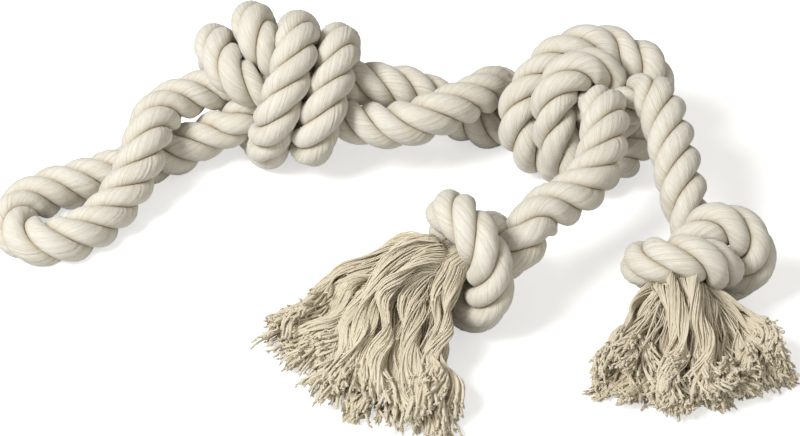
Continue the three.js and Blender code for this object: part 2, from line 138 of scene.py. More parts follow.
LEFT_LEG = [
    (.116, .073, .028, LOOSE), (.115, .058, .038, LOOSE), (.113, .04, .046, LOOSE),
    (.105, .025, .053, LOOSE), (.088, .017, .063, LOOSE), (.071, .013, .069, LOOSE),
]
RIGHT_LEG = [
    (.143, .088, .014, LOOSE), (.148, .073, .024, LOOSE), (.151, .056, .034, LOOSE),
    (.154, .043, .042, LOOSE), (.156, .03, .048, LOOSE), (.157, .018, .054, LOOSE),
]
LEFT_END_KNOT = [
    (.061, .008, .074), (.054, 0, .077, PRESSED), (.048, -.013, .076, PRESSED),
    (.044, -.021, .07, PRESSED), (.04, -.019, .061, PRESSED), (.036, -.01, .055, PRESSED),
    (.034, .001, .057), (.033, .008, .07), (.036, .005, .087), (.042, -.005, .097),
    (.049, -.017, .1), (.053, -.031, .096), (.048, -.042, .086), (.038, -.046, .075),
    (.034, -.041, .061), (.041, -.028, .05), (.051, -.014, .047, PRESSED),
    (.054, -.004, .054, PRESSED), (.049, -.002, .063, PRESSED), (.043, -.005, .071, PRESSED),
    (.037, -.012, .079, PRESSED), (.029, -.018, .08),
]
RIGHT_END_KNOT = [
    (.158, .007, .056, PRESSED), (.163, -.004, .056, PRESSED), (.17, -.011, .058, PRESSED),
    (.175, -.014, .068, PRESSED), (.175, -.009, .082), (.168, -.005, .093), (.158, -.007, .1),
    (.148, -.012, .098), (.141, -.015, .088), (.139, -.018, .07), (.143, -.02, .052),
    (.154, -.022, .042), (.168, -.025, .042), (.182, -.027, .05), (.189, -.022, .064),
    (.192, -.012, .074), (.188, -.003, .08), (.179, .002, .082), (.168, .004, .084),
    (.16, 0, .082, PRESSED), (.156, -.009, .078, PRESSED), (.151, -.017, .076, PRESSED),
    (.147, -.026, .076),
]
# Lock routes are (right, back, height): steps from the rope's cut end and height over the floor.
LEFT_LOCKS = [
    [(-.02, -.006, .043), (-.036, -.017, .029), (-.047, -.04, .014), (-.051, -.066, .0035)],
    [(-.008, -.019, .026), (-.011, -.037, .017), (-.01, -.059, .009), (-.004, -.082, .0035)],
    [(-.021, .013, .027), (-.041, .009, .021), (-.063, -.006, .012), (-.084, -.028, .0035)],
]
RIGHT_LOCKS = [
    [(.001, -.023, .031), (.003, -.038, .022), (.006, -.055, .01), (.008, -.072, .0035)],
    [(-.02, -.01, .014), (-.03, -.023, .011), (-.036, -.039, .008), (-.042, -.056, .0035)],
    [(.017, -.01, .015), (.034, -.019, .01), (.045, -.034, .007), (.051, -.051, .0035)],
]


# The rope's route

def knot_points(points, centre, turn):
    """Points of a knot turned about the up axis and set at its centre."""
    side, near = math.cos(turn), math.sin(turn)
    return [
        (centre[0] + p[0] * side - p[2] * near, centre[1] + p[1],
         centre[2] + p[0] * near + p[2] * side, *p[3:])
        for p in points
    ]


def whole_route():
    """Route points from the left tassel round the handle to the right one, and named places on it."""
    handle_a = knot_points(HANDLE_KNOT_A, HANDLE_KNOT_CENTRE, HANDLE_KNOT_TURN)
    handle_b = knot_points(HANDLE_KNOT_B, HANDLE_KNOT_CENTRE, HANDLE_KNOT_TURN)
    leg_a = knot_points(LEG_KNOT_A, LEG_KNOT_CENTRE, LEG_KNOT_TURN)
    leg_b = knot_points(LEG_KNOT_B, LEG_KNOT_CENTRE, LEG_KNOT_TURN)
    order = [
        (LEFT_END_KNOT, True, {"left_end": 2}),
        (LEFT_LEG, True, {}),
        (leg_b, True, {"leg_b_out": 24, "leg_b_in": 2}),
        (BACK_SPAN, True, {}),
        (handle_b, True, {"handle_b_out": 20, "handle_b_in": 1}),
        (HANDLE_LOOP, True, {}),
        (handle_a, False, {"handle_a_in": 1, "handle_a_out": 20}),
        (FRONT_SPAN, False, {}),
        (leg_a, False, {"leg_a_in": 2, "leg_a_out": 27}),
        (RIGHT_LEG, False, {}),
        (RIGHT_END_KNOT, False, {"right_end": 2}),
    ]
    route, marks = [], {}
    for points, reverse, named in order:
        start = len(route)
        for p in reversed(points) if reverse else points:
            route.append((*p[:3], p[3] if len(p) > 3 else 1.0))
        for name, place in named.items():
            marks[name] = start + (len(points) - 1 - place if reverse else place)
    return np.array(route), marks


def through_points(points, steps):
    """A smooth line through points, with a number of steps between each two."""
    first, last = 2 * points[0] - points[1], 2 * points[-1] - points[-2]
    padded = np.vstack([first, points, last])
    at = np.arange((len(points) - 1) * steps + 1) / steps
    k = np.minimum(at.astype(int), len(points) - 2)
    t = (at - k)[:, None]
    a, b, c, d = padded[k], padded[k + 1], padded[k + 2], padded[k + 3]
    line = b + 0.5 * t * (c - a + t * (2 * a - 5 * b + 4 * c - d + t * (3 * (b - c) + d - a)))
    return line, at


def run_along(line):
    return np.r_[0, np.cumsum(np.linalg.norm(np.diff(line, axis=0), axis=1))]


ROUTE_STEPS = 12


def even_steps(route, step):
    """The smooth route in even steps: places, place in the list of points, pressed share."""
    line, at = through_points(route[:, :3], ROUTE_STEPS)
    run = run_along(line)
    want = np.linspace(0, run[-1], round(run[-1] / step) + 1)
    place = np.stack([np.interp(want, run, line[:, k]) for k in range(3)], axis=1)
    at = np.interp(want, run, at)
    return place, at, np.interp(at, np.arange(len(route)), route[:, 3])


SETTLE_STEP = 0.005
MOST_MOVE = 0.0015
# In rope diameters: the way along the rope to its next turn, and how near a turn has to be to count.
NEXT_TURN = 1.8
NEAR_TURN = 1.9
LOOK_EVERY = 10
# The tightest bend's diameter in rope radii, and how much of a tighter one is eased in a round.
BEND_LIMIT = 2.8
BEND_EASE = 0.4
NOT_ZERO = 1e-12
# Rounds, hold to the drawn route, easing of bends and push between turns of rope.
PHASES = [(300, 0.02, 0.1, 0.25), (150, 0.004, 0.04, 0.3), (200, 0, 0.03, 0.35)]


def settle(home, radius):
    """Lets the line settle like rope: turns push apart, bends ease, the floor carries it."""
    step = run_along(home)[-1] / (len(home) - 1)
    apart = math.ceil(NEXT_TURN * ROPE_DIAMETER / SETTLE_STEP)
    places, rounds_done = home.copy(), 0
    for rounds, hold, ease, push in PHASES:
        for _ in range(rounds):
            moved = places.copy()
            moved[1:-1] += ease * ((places[:-2] + places[2:]) / 2 - places[1:-1])
            moved += hold * (home - moved)
            for reach in (1, 2, 3):
                span = (moved[:-2 * reach] + moved[2 * reach:]) / 2 - moved[reach:-reach]
                most = (reach * step) ** 2 / (BEND_LIMIT * ROPE_RADIUS)
                length = np.maximum(np.linalg.norm(span, axis=1), NOT_ZERO)
                shift = span * (np.maximum(0, 1 - most / length) * BEND_EASE)[:, None]
                moved[reach:-reach] += shift
                moved[:-2 * reach] -= 0.5 * shift
                moved[2 * reach:] -= 0.5 * shift
            if rounds_done % LOOK_EVERY == 0:
                far = np.linalg.norm(moved[:, None] - moved[None], axis=2)
                i, j = np.nonzero(far < NEAR_TURN * ROPE_DIAMETER)
                i, j = i[j >= i + apart], j[j >= i + apart]
            span = moved[j] - moved[i]
            length = np.maximum(np.linalg.norm(span, axis=1), NOT_ZERO)
            short = np.maximum(0, radius[i] + radius[j] + ROPE_GAP - length)
            span *= (short * push / length)[:, None]
            moves = np.zeros_like(moved)
            np.add.at(moves, i, -span)
            np.add.at(moves, j, span)
            length = np.maximum(np.linalg.norm(moves, axis=1), NOT_ZERO)
            moved += moves * np.minimum(1, MOST_MOVE / length)[:, None]
            moved += np.maximum(0, radius - moved @ FLOOR_UP)[:, None] * FLOOR_UP
            places = moved
            rounds_done += 1
    return places


def stand_up(points):
    """From the leaning working frame to Z up."""
    x, y, z = points.T
    back = y * math.sin(LEAN) - z * math.cos(LEAN)
    high = y * math.cos(LEAN) + z * math.sin(LEAN) - FLAT_DEPTH
    return np.stack([x, back, high], axis=1)


FINE = 8
SKIN_GAP = 0.0001
FOOT_SHARE = 0.9
# Both ends of the rope are drawn in to a share of its radius, over a short way.
END_SHARE = 0.82
END_TAPER = 0.012
FILL_FADE = 0.03
WIDENING = 0.25
LEAST_TURN = 1e-6
# Where the rope swells, at the mouths of knots and on slack turns:
# place, way along from it, half width and share of the radius.
SWELLS = [
    ("left_end", 0.012, 0.018, 0.27),
    ("leg_a_in", 0.068, 0.026, 0.33),
    ("leg_a_out", -0.195, 0.03, 0.13),
    ("leg_a_out", 0.03, 0.03, 0.17),
    ("right_end", -0.012, 0.028, 0.26),
    ("right_end", 0.02, 0.02, 0.12),
    ("handle_b_out", 0.09, 0.03, 0.11),
    ("handle_b_out", -0.026, 0.02, 0.15),
    ("handle_a_in", 0.027, 0.02, 0.35),
]


class Rope:
    """The settled rope: its line, thickness and the turn of its lay."""

    def __init__(self):
        route, self.marks = whole_route()
        home, at, share = even_steps(route, SETTLE_STEP)
        radius = share * ROPE_RADIUS
        line = stand_up(settle(home, radius))
        self.place, steps = through_points(line, FINE)
        samples = np.arange(len(line))
        self.at = np.interp(steps, samples, at)
        self.run = run_along(self.place)
        self.length = self.run[-1]
        self.along = np.gradient(self.place, axis=0)
        self.along /= np.linalg.norm(self.along, axis=1)[:, None]
        self.square_on()
        radius = np.interp(steps, samples, radius) - SKIN_GAP
        self.radius = self.thickness(radius.copy(), TIGHTEST)
        inside = (self.at >= self.marks["handle_a_in"]) & (self.at <= self.marks["handle_a_out"])
        knot = np.nonzero(inside)[0]
        knot = knot[knot % 2 == 0]
        underside = self.place[:, 2] - FOOT_SHARE * self.thickness(radius, TIGHT_CORE)
        k = knot[np.argmin(underside[knot])]
        from_end = np.minimum(self.run, self.length - self.run)
        self.radius *= END_SHARE + (1 - END_SHARE) * np.clip(from_end / END_TAPER, 0, 1)
        pressed = np.clip((1 - np.interp(steps, samples, share)) / (1 - PRESSED), 0, 1)
        self.radius *= 1 + CORE_FILL * pressed * np.clip(from_end / FILL_FADE, 0, 1)
        for name, shift, width, more in SWELLS:
            near = np.clip(1 - np.abs(self.run - self.mark(name) - shift) / width, 0, 1)
            self.radius *= 1 + more * near * near * (3 - 2 * near)
        self.origin = self.place[k] * (1, 1, 0)
        self.place = self.place - self.origin
        down = np.array([0, 0, -1])
        self.foot_run = self.run[k]
        self.foot_angle = math.atan2(down @ self.beside[k], down @ self.across[k])

    def square_on(self):
        """Two directions square to the rope that don't turn with its lay."""
        across = np.cross((0, 0, 1), self.along[0])
        self.across = np.zeros_like(self.place)
        for k, along in enumerate(self.along):
            across = across - along * (across @ along)
            across = across / np.linalg.norm(across)
            self.across[k] = across
        self.beside = np.cross(self.along, self.across)

    def thickness(self, radius, tightest):
        """Rope that bends hard is pressed thinner, and widens again slowly on both sides."""
        reach = FINE * 5 // 4
        before = self.place[reach:-reach] - self.place[:-2 * reach]
        after = self.place[2 * reach:] - self.place[reach:-reach]
        lengths = np.linalg.norm(before, axis=1), np.linalg.norm(after, axis=1)
        cosine = (before * after).sum(1) / (lengths[0] * lengths[1])
        turn = np.maximum(np.arccos(np.clip(cosine, -1, 1)), LEAST_TURN)
        bend = (lengths[0] + lengths[1]) / 2 / turn
        radius[reach:-reach] = np.minimum(radius[reach:-reach], tightest * bend)
        for k in range(1, len(radius)):
            radius[k] = min(radius[k], radius[k - 1] + WIDENING * (self.run[k] - self.run[k - 1]))
        for k in range(len(radius) - 2, -1, -1):
            radius[k] = min(radius[k], radius[k + 1] + WIDENING * (self.run[k + 1] - self.run[k]))
        return radius

    def mark(self, name):
        return self.run[np.argmax(self.at >= self.marks[name])]

    def sample(self, values, run):
        return np.stack([np.interp(run, self.run, values[:, k]) for k in range(3)], axis=-1)

    def lay_angle(self, run):
        return self.foot_angle + (run - self.foot_run) * 2 * math.pi / LAY_LENGTH


# The camera stands where the photograph was taken from: level with the front, looking down by LEAN.
VIEW_WIDTH = 0.459
CAMERA_AWAY = 1.5
VIEW_CENTRE_UP = 0.0097
SENSOR_WIDTH = 36
VIEW_DEPTH = 20


def add_camera(rope):
    data = bpy.data.cameras.new("camera")
    data.sensor_width = SENSOR_WIDTH
    data.lens = SENSOR_WIDTH * CAMERA_AWAY / VIEW_WIDTH
    data.clip_end = VIEW_DEPTH
    camera = bpy.data.objects.new("camera", data)
    bpy.context.scene.collection.objects.link(camera)
    sight = np.array([(0, VIEW_CENTRE_UP, 0), (0, VIEW_CENTRE_UP, CAMERA_AWAY)])
    target, eye = stand_up(sight) - rope.origin
    camera.location = eye
    camera.rotation_mode = "QUATERNION"
    camera.rotation_quaternion = Vector(target - eye).to_track_quat("-Z", "Y")
    bpy.context.scene.camera = camera


# Cotton

# How much the yarns' own tint and the streaks of fibre colour the cotton, beside its large patches.
TINT_WEIGHT = 0.4
STREAK_WEIGHT = 3
MARK_CONTRAST = 0.55
MARK_OFFSET = -0.98
PATCH_SCALE = 38


def node_tree(name):
    material = bpy.data.materials.new(name)
    material.use_nodes = True
    nodes, links = material.node_tree.nodes, material.node_tree.links
    return material, nodes, links, nodes["Principled BSDF"]


def cotton(name, pale, dull, shade_colour, fibre_scale, fibre_rise):
    """Matte undyed cotton: yarn-by-yarn tint, painted shade in the grooves, on yarn seams and under other
    yarns, with fibres along the yarn.
    """
    material, nodes, links, shader = node_tree(name)
    shader.inputs["Roughness"].default_value = 0.92
    shader.inputs["Specular IOR Level"].default_value = 0.25
    shader.inputs["Sheen Weight"].default_value = 0.25
    shader.inputs["Sheen Roughness"].default_value = 0.6
    line = nodes.new("ShaderNodeAttribute")
    line.attribute_name = "yarn_line"
    tint = nodes.new("ShaderNodeAttribute")
    tint.attribute_name = "yarn_tint"
    groove = nodes.new("ShaderNodeAttribute")
    groove.attribute_name = "groove"

    fibres_at = nodes.new("ShaderNodeMapping")
    fibres_at.inputs["Scale"].default_value = fibre_scale
    links.new(line.outputs["Vector"], fibres_at.inputs["Vector"])
    fibres = nodes.new("ShaderNodeTexNoise")
    fibres.inputs["Scale"].default_value = 1
    fibres.inputs["Detail"].default_value = 3
    links.new(fibres_at.outputs["Vector"], fibres.inputs["Vector"])

    place = nodes.new("ShaderNodeTexCoord")
    patches = nodes.new("ShaderNodeTexNoise")
    patches.inputs["Scale"].default_value = PATCH_SCALE
    patches.inputs["Detail"].default_value = 2
    links.new(place.outputs["Object"], patches.inputs["Vector"])

    amount = nodes.new("ShaderNodeMath")
    amount.operation = "MULTIPLY_ADD"
    amount.inputs[1].default_value = TINT_WEIGHT
    links.new(tint.outputs["Fac"], amount.inputs[0])
    spread = nodes.new("ShaderNodeMath")
    spread.operation = "MULTIPLY_ADD"
    spread.inputs[1].default_value = MARK_CONTRAST
    spread.inputs[2].default_value = MARK_OFFSET
    streaks = nodes.new("ShaderNodeMath")
    streaks.operation = "MULTIPLY_ADD"
    streaks.inputs[1].default_value = STREAK_WEIGHT
    links.new(fibres.outputs["Fac"], streaks.inputs[0])
    links.new(patches.outputs["Fac"], streaks.inputs[2])
    links.new(streaks.outputs["Value"], spread.inputs[0])
    links.new(spread.outputs["Value"], amount.inputs[2])
    body = nodes.new("ShaderNodeMix")
    body.data_type = "RGBA"
    body.clamp_factor = True
    body.inputs["A"].default_value = (*pale, 1)
    body.inputs["B"].default_value = (*dull, 1)
    links.new(amount.outputs["Value"], body.inputs["Factor"])
    # Painted shade: the yarn colour is mixed towards the shade colour by each point's painted shade
    # amount.
    shade_mix = nodes.new("ShaderNodeMix")
    shade_mix.data_type = "RGBA"
    shade_mix.inputs["B"].default_value = (*shade_colour, 1)
    links.new(body.outputs["Result"], shade_mix.inputs["A"])
    links.new(groove.outputs["Fac"], shade_mix.inputs["Factor"])
    links.new(shade_mix.outputs["Result"], shader.inputs["Base Color"])

    bump = nodes.new("ShaderNodeBump")
    bump.inputs["Strength"].default_value = 0.7
    bump.inputs["Distance"].default_value = fibre_rise
    links.new(fibres.outputs["Fac"], bump.inputs["Height"])
    links.new(bump.outputs["Normal"], shader.inputs["Normal"])
    return material


# Meshes from rows of points

def add_piece(name, shells, material):
    """One object from closed shells of (points in rows of columns, yarn line, tint, painted shade)."""
    points, faces, facts = [], [], {"yarn_line": [], "yarn_tint": [], "groove": []}
    start = 0
    for rows, line, tint, groove in shells:
        columns, around = rows.shape[:2]
        index = start + np.arange(columns * around).reshape(columns, around)
        beside = np.roll(index, -1, axis=1)
        quads = np.stack([index[:-1], beside[:-1], beside[1:], index[1:]], axis=-1).reshape(-1, 4)
        faces.append(quads)
        points.append(rows.reshape(-1, 3))
        facts["yarn_line"].append(line.reshape(-1, 3))
        facts["yarn_tint"].append(tint.reshape(-1))
        facts["groove"].append(groove.reshape(-1))
        start += columns * around
    points = np.concatenate(points)
    quads = np.concatenate(faces)
    caps, at = [], 0
    for rows, *_ in shells:
        columns, around = rows.shape[:2]
        caps.append(list(range(at + around - 1, at - 1, -1)))
        last = at + (columns - 1) * around
        caps.append(list(range(last, last + around)))
        at += columns * around
    mesh = bpy.data.meshes.new(name)
    mesh.from_pydata(points, [], quads.tolist() + caps)
    for key, kind, field in (("yarn_line", "FLOAT_VECTOR", "vector"), ("yarn_tint", "FLOAT", "value"),
                             ("groove", "FLOAT", "value")):
        values = np.concatenate(facts[key]).astype(np.float32).ravel()
        mesh.attributes.new(key, kind, "POINT").data.foreach_set(field, values)
    mesh.shade_smooth()
    mesh.materials.append(material)
    mesh.validate()
    piece = bpy.data.objects.new(name, mesh)
    bpy.context.scene.collection.objects.link(piece)
    return piece


# Laid rope

CROWN_ROWS = np.array([-.97, -.86, -.68, -.46, -.23, 0, .23, .46, .68, .86, .97])
# The two flanks and the inner edge of a strand, and how far out they reach in shares of the radius.
FLANK_ROWS = np.array([.97, 0, -.97])
FLANK_REACH = np.array([.3, .05, .3])
CROWN_POWER = 2.3
COLUMNS_PER_YARN = 2
FEWEST_YARNS = 6
FLOOR_SKIN = 0.0001
# Painted shade in the lay grooves: where it starts across a strand's crown, and how strong it is.
GROOVE_SHADE_START = 0.55
GROOVE_SHADE_TONE = 0.6
# Painted shade on the seam between two yarns: its least tone, and what chance adds.
YARN_SEAM_SHADE = 0.12
YARN_SEAM_SHADE_MORE = 0.4


def strand_shell(rope, strand, first, last, chance):
    """Skin of one strand between two places along the rope. Each column of points is a line of its yarn,
    which runs along the rope from one of the lay's grooves to the next. Its colour carries painted shade
    in the grooves and on the seams between yarns."""
    yarns = round((last - first) / LAY_LENGTH * 2 * math.pi * ROPE_RADIUS / YARN_WIDTH)
    yarns = max(FEWEST_YARNS, yarns)
    count = yarns * COLUMNS_PER_YARN
    middle = np.linspace(first, last, count + 1)
    angle = rope.lay_angle(middle) + strand * 2 * math.pi / 3
    yarn = np.arange(count + 1) // COLUMNS_PER_YARN
    crest = (np.arange(count + 1) % COLUMNS_PER_YARN > 0).astype(float)
    # Each yarn has its own crest, and lies a little higher or lower than the next.
    height = (0.75 + 0.5 * chance.random(yarns + 1))[yarn] * crest * YARN_RISE
    height += ((chance.random(yarns + 1) - 0.5) * 0.9 * YARN_RISE)[yarn]
    tint = chance.random(yarns + 1)[yarn]

    share = np.r_[CROWN_ROWS, FLANK_ROWS]
    run = np.clip(middle[:, None] + share[None] * LAY_LENGTH / 6, 0, rope.length)
    radius = np.interp(run, rope.run, rope.radius) * FULLNESS
    crown = 1 - GROOVE_DEPTH * np.abs(share) ** CROWN_POWER
    reach = radius * crown[None] + height[:, None]
    flank = len(CROWN_ROWS)
    reach[:, flank:] = radius[:, flank:] * FLANK_REACH
    place = rope.sample(rope.place, run)
    across, beside = rope.sample(rope.across, run), rope.sample(rope.beside, run)
    turned = angle[:, None, None]
    rows = place + (across * np.cos(turned) + beside * np.sin(turned)) * reach[..., None]
    rows[..., 2] = np.maximum(rows[..., 2], FLOOR_SKIN)
    round_rope = np.broadcast_to((angle * ROPE_RADIUS)[:, None], run.shape)
    line = np.stack([round_rope, run, np.full(run.shape, float(strand))], axis=-1)
    # Painted shade: the crown darkens towards the lay grooves, the flanks are fully shaded, and each seam
    # between yarns gets a thin painted shade line.
    groove = np.clip((np.abs(share) - GROOVE_SHADE_START) / (1 - GROOVE_SHADE_START), 0, 1) ** 2
    groove[flank:] = 1
    between = (1 - crest) * (YARN_SEAM_SHADE + YARN_SEAM_SHADE_MORE * chance.random(yarns + 1)[yarn] ** 3)
    groove = GROOVE_SHADE_TONE * np.broadcast_to(groove[None], run.shape) + between[:, None]
    return rows, line, np.broadcast_to(tint[:, None], run.shape), groove


def add_stretch(rope, name, first, last, material, seed):
    chance = np.random.default_rng(seed)
    shells = [strand_shell(rope, strand, first, last, chance) for strand in range(3)]
    piece = add_piece(name, shells, material)
    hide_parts(*[f"{name}_strand_{n}" for n in (1, 2, 3)])
    return piece


rope = Rope()
add_camera(rope)

# Each cotton's third colour is painted shade, for its grooves, yarn seams and yarns lying under others.
rope_cotton = cotton(
    "undyed_rope_cotton", pale=(0.81, 0.79, 0.72), dull=(0.66, 0.62, 0.52), shade_colour=(0.45, 0.36, 0.21),
    fibre_scale=(1700, 330, 40), fibre_rise=0.0004)
tassel_cotton = cotton(
    "opened_yarn_cotton", pale=(0.77, 0.71, 0.575), dull=(0.58, 0.49, 0.325), shade_colour=(0.33, 0.22, 0.09),
    fibre_scale=(1800, 420, 40), fibre_rise=0.00015)

# Free stretches: name, from, to, the two bodies and where the bend between them starts and ends.
FREE_STRETCHES = [
    ("handle_loop", "handle_b_in", "handle_a_in", "handle_knot", "handle",
     (-.025, .005, .03), (-.080, -.045, .03)),
    ("front_span", "handle_a_out", "leg_a_in", "handle_knot", "leg_knot",
     (.045, .004, .03), (.165, .004, .03)),
    ("back_span", "leg_b_in", "handle_b_out", "handle_knot", "leg_knot",
     (.045, .004, .03), (.165, .004, .03)),
    ("left_leg", "left_end", "leg_b_out", "leg_knot", "left_end",
     (.195, -.045, .05), (.152, -.125, .05)),
    ("right_leg", "leg_a_out", "right_end", "leg_knot", "right_end",
     (.226, -.035, .05), (.247, -.115, .05)),
]
# Knotted stretches: name, from, to and body. None is an end of the rope.
KNOTTED_STRETCHES = [
    ("left_end_knot", None, "left_end", "left_end"),
    ("leg_knot_inner", "leg_b_out", "leg_b_in", "leg_knot"),
    ("handle_knot_right", "handle_b_out", "handle_b_in", "handle_knot"),
    ("handle_knot_left", "handle_a_in", "handle_a_out", "handle_knot"),
    ("leg_knot_outer", "leg_a_in", "leg_a_out", "leg_knot"),
    ("right_end_knot", "right_end", None, "right_end"),
]
for seed, (name, start, stop, body_a, body_b, bend_start, bend_end) in enumerate(FREE_STRETCHES):
    first, last = rope.mark(start), rope.mark(stop)
    piece = add_stretch(rope, name, first, last, rope_cotton, seed)
    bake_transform(piece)
for seed, (name, start, stop, body) in enumerate(KNOTTED_STRETCHES, start=len(FREE_STRETCHES)):
    first = rope.mark(start) if start else 0.0
    last = rope.mark(stop) if stop else rope.length
    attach(add_stretch(rope, name, first, last, rope_cotton, seed), body)


# Tassels

# A direction that no yarn runs along.
CLEAR_OF_YARNS = (0.13, 0.21, 0.97)
ROOT_OUT = 0.53
ROOT_BACK = 0.003
# The middle of a lock: how far it starts inside the rope's end, and how far it runs on past the tip.
LOCK_INSIDE = 0.009
LOCK_MOUTH = 0.005
LOCK_FINE = 10
LOCK_PLACES = 61
RUN_ON = 6
PAST_TIP = 1.2
# Half width and half thickness of a lock: at the rope, what it gains as it opens, and at the tips.
ROOT_WIDE, OPEN_WIDE = 0.0066, 0.0062
ROOT_THICK, OPEN_THICK = 0.0064, 0.0054
TIP_WIDE = TASSEL_WIDTH * 0.55
TIP_THICK = TASSEL_THICKNESS * 0.62
# Yarns: points along each, sides, most shortening, two waves and how much of them goes up and down.
YARN_STEPS = 22
YARN_SIDES = 4
MOST_SHORT = 0.16
WAVES = (0.0026, 0.0014)
WAVE_UP = 0.7
# Clumps: angle from one to the next, how far out they lie, and how much chance moves them.
CLUMP_ANGLE = 2.4
CLUMP_REACH = 0.9
CLUMP_SHIFT = 0.06
FIBRES_PER_TIP = 2
FIBRE_SIDES = 3
FIBRE_RADIUS = 0.0007
FIBRE_TIP_RADIUS = 0.00045


def smoothstep(low, high, value):
    t = np.clip((value - low) / (high - low), 0, 1)
    return t * t * (3 - 2 * t)


def tube(line, radius, sides, tint, groove, chance):
    """A round yarn along a line, as a closed shell."""
    along = np.gradient(line, axis=0)
    along /= np.linalg.norm(along, axis=1)[:, None]
    side = np.cross(along, CLEAR_OF_YARNS)
    side /= np.linalg.norm(side, axis=1)[:, None]
    top = np.cross(along, side)
    turn = np.arange(sides) * 2 * math.pi / sides
    ring = side[:, None] * np.cos(turn)[None, :, None] + top[:, None] * np.sin(turn)[None, :, None]
    rows = line[:, None] + ring * radius[:, None, None]
    run = run_along(line)
    shape = rows.shape[:2]
    lines = np.stack([np.broadcast_to(turn[None] * LOOSE_YARN_RADIUS + chance.random(), shape),
                      np.broadcast_to(run[:, None], shape), np.full(shape, chance.random())], axis=-1)
    return rows, lines, np.full(shape, tint), np.broadcast_to(groove[:, None], shape)


def strand_root(rope, run, outward, strand):
    angle = rope.lay_angle(run) + strand * 2 * math.pi / 3
    out = rope.sample(rope.across, run) * math.cos(angle) + rope.sample(rope.beside, run) * math.sin(angle)
    radius = np.interp(run, rope.run, rope.radius)
    return rope.sample(rope.place, run) + out * ROOT_OUT * radius - outward * ROOT_BACK


def lock_line(root, outward, end, steps):
    """Middle of one lock, in even steps from inside the rope's end to a little past its tip."""
    points = [root - outward * LOCK_INSIDE, root, root + outward * LOCK_MOUTH]
    points += [np.array([end[0] + right, end[1] + back, height]) for right, back, height in steps]
    line, _ = through_points(np.array(points), LOCK_FINE)
    line = np.vstack([line, line[-1] + (line[-1] - line[-3]) * RUN_ON])
    run = run_along(line)
    even = np.linspace(0, PAST_TIP, LOCK_PLACES) * run[-2]
    return np.stack([np.interp(even, run, line[:, k]) for k in range(3)], axis=1)


def clump_spots(chance):
    """Middles of the clumps of one lock, spread over a round of radius one."""
    n = np.arange(CLUMPS_PER_LOCK)
    out = np.sqrt((n + 0.8) / CLUMPS_PER_LOCK) * CLUMP_REACH
    turn = n * CLUMP_ANGLE + chance.random() * 6
    spots = np.stack([out * np.cos(turn), out * np.sin(turn)], axis=1)
    return spots + chance.normal(0, CLUMP_SHIFT, (CLUMPS_PER_LOCK, 2))


def at_share(middle, share):
    """Places at shares of a lock's length."""
    lengths = np.linspace(0, PAST_TIP, len(middle))
    return np.stack([np.interp(share, lengths, middle[:, k]) for k in range(3)], axis=1)


def yarn_share(u):
    """Thickness of a loose yarn along its length: thin at the rope, full halfway, frayed at the tip."""
    return (0.7 + 0.3 * smoothstep(0.1, 0.5, u) + 0.4 * smoothstep(0.55, 0.85, u)
            + 0.9 * smoothstep(0.86, 0.98, u))


def tip_fibres(line, tint, chance):
    """Short fibres that fan out from the cut tip of a yarn."""
    heading = (line[-1] - line[-2]) / np.linalg.norm(line[-1] - line[-2])
    radius = np.array([FIBRE_RADIUS, FIBRE_RADIUS, FIBRE_TIP_RADIUS])
    shells = []
    for _ in range(FIBRES_PER_TIP):
        fan = (heading + chance.normal(0, 0.55, 3)) * chance.uniform(0.001, 0.0022)
        fibre = line[-1] - heading * 0.001 + chance.normal(0, 0.0003, 3) + np.outer((0, 0.5, 1), fan)
        fibre[:, 2] = np.maximum(fibre[:, 2], FIBRE_RADIUS)
        shells.append(tube(fibre, radius, FIBRE_SIDES, tint, np.zeros(3), chance))
    return shells


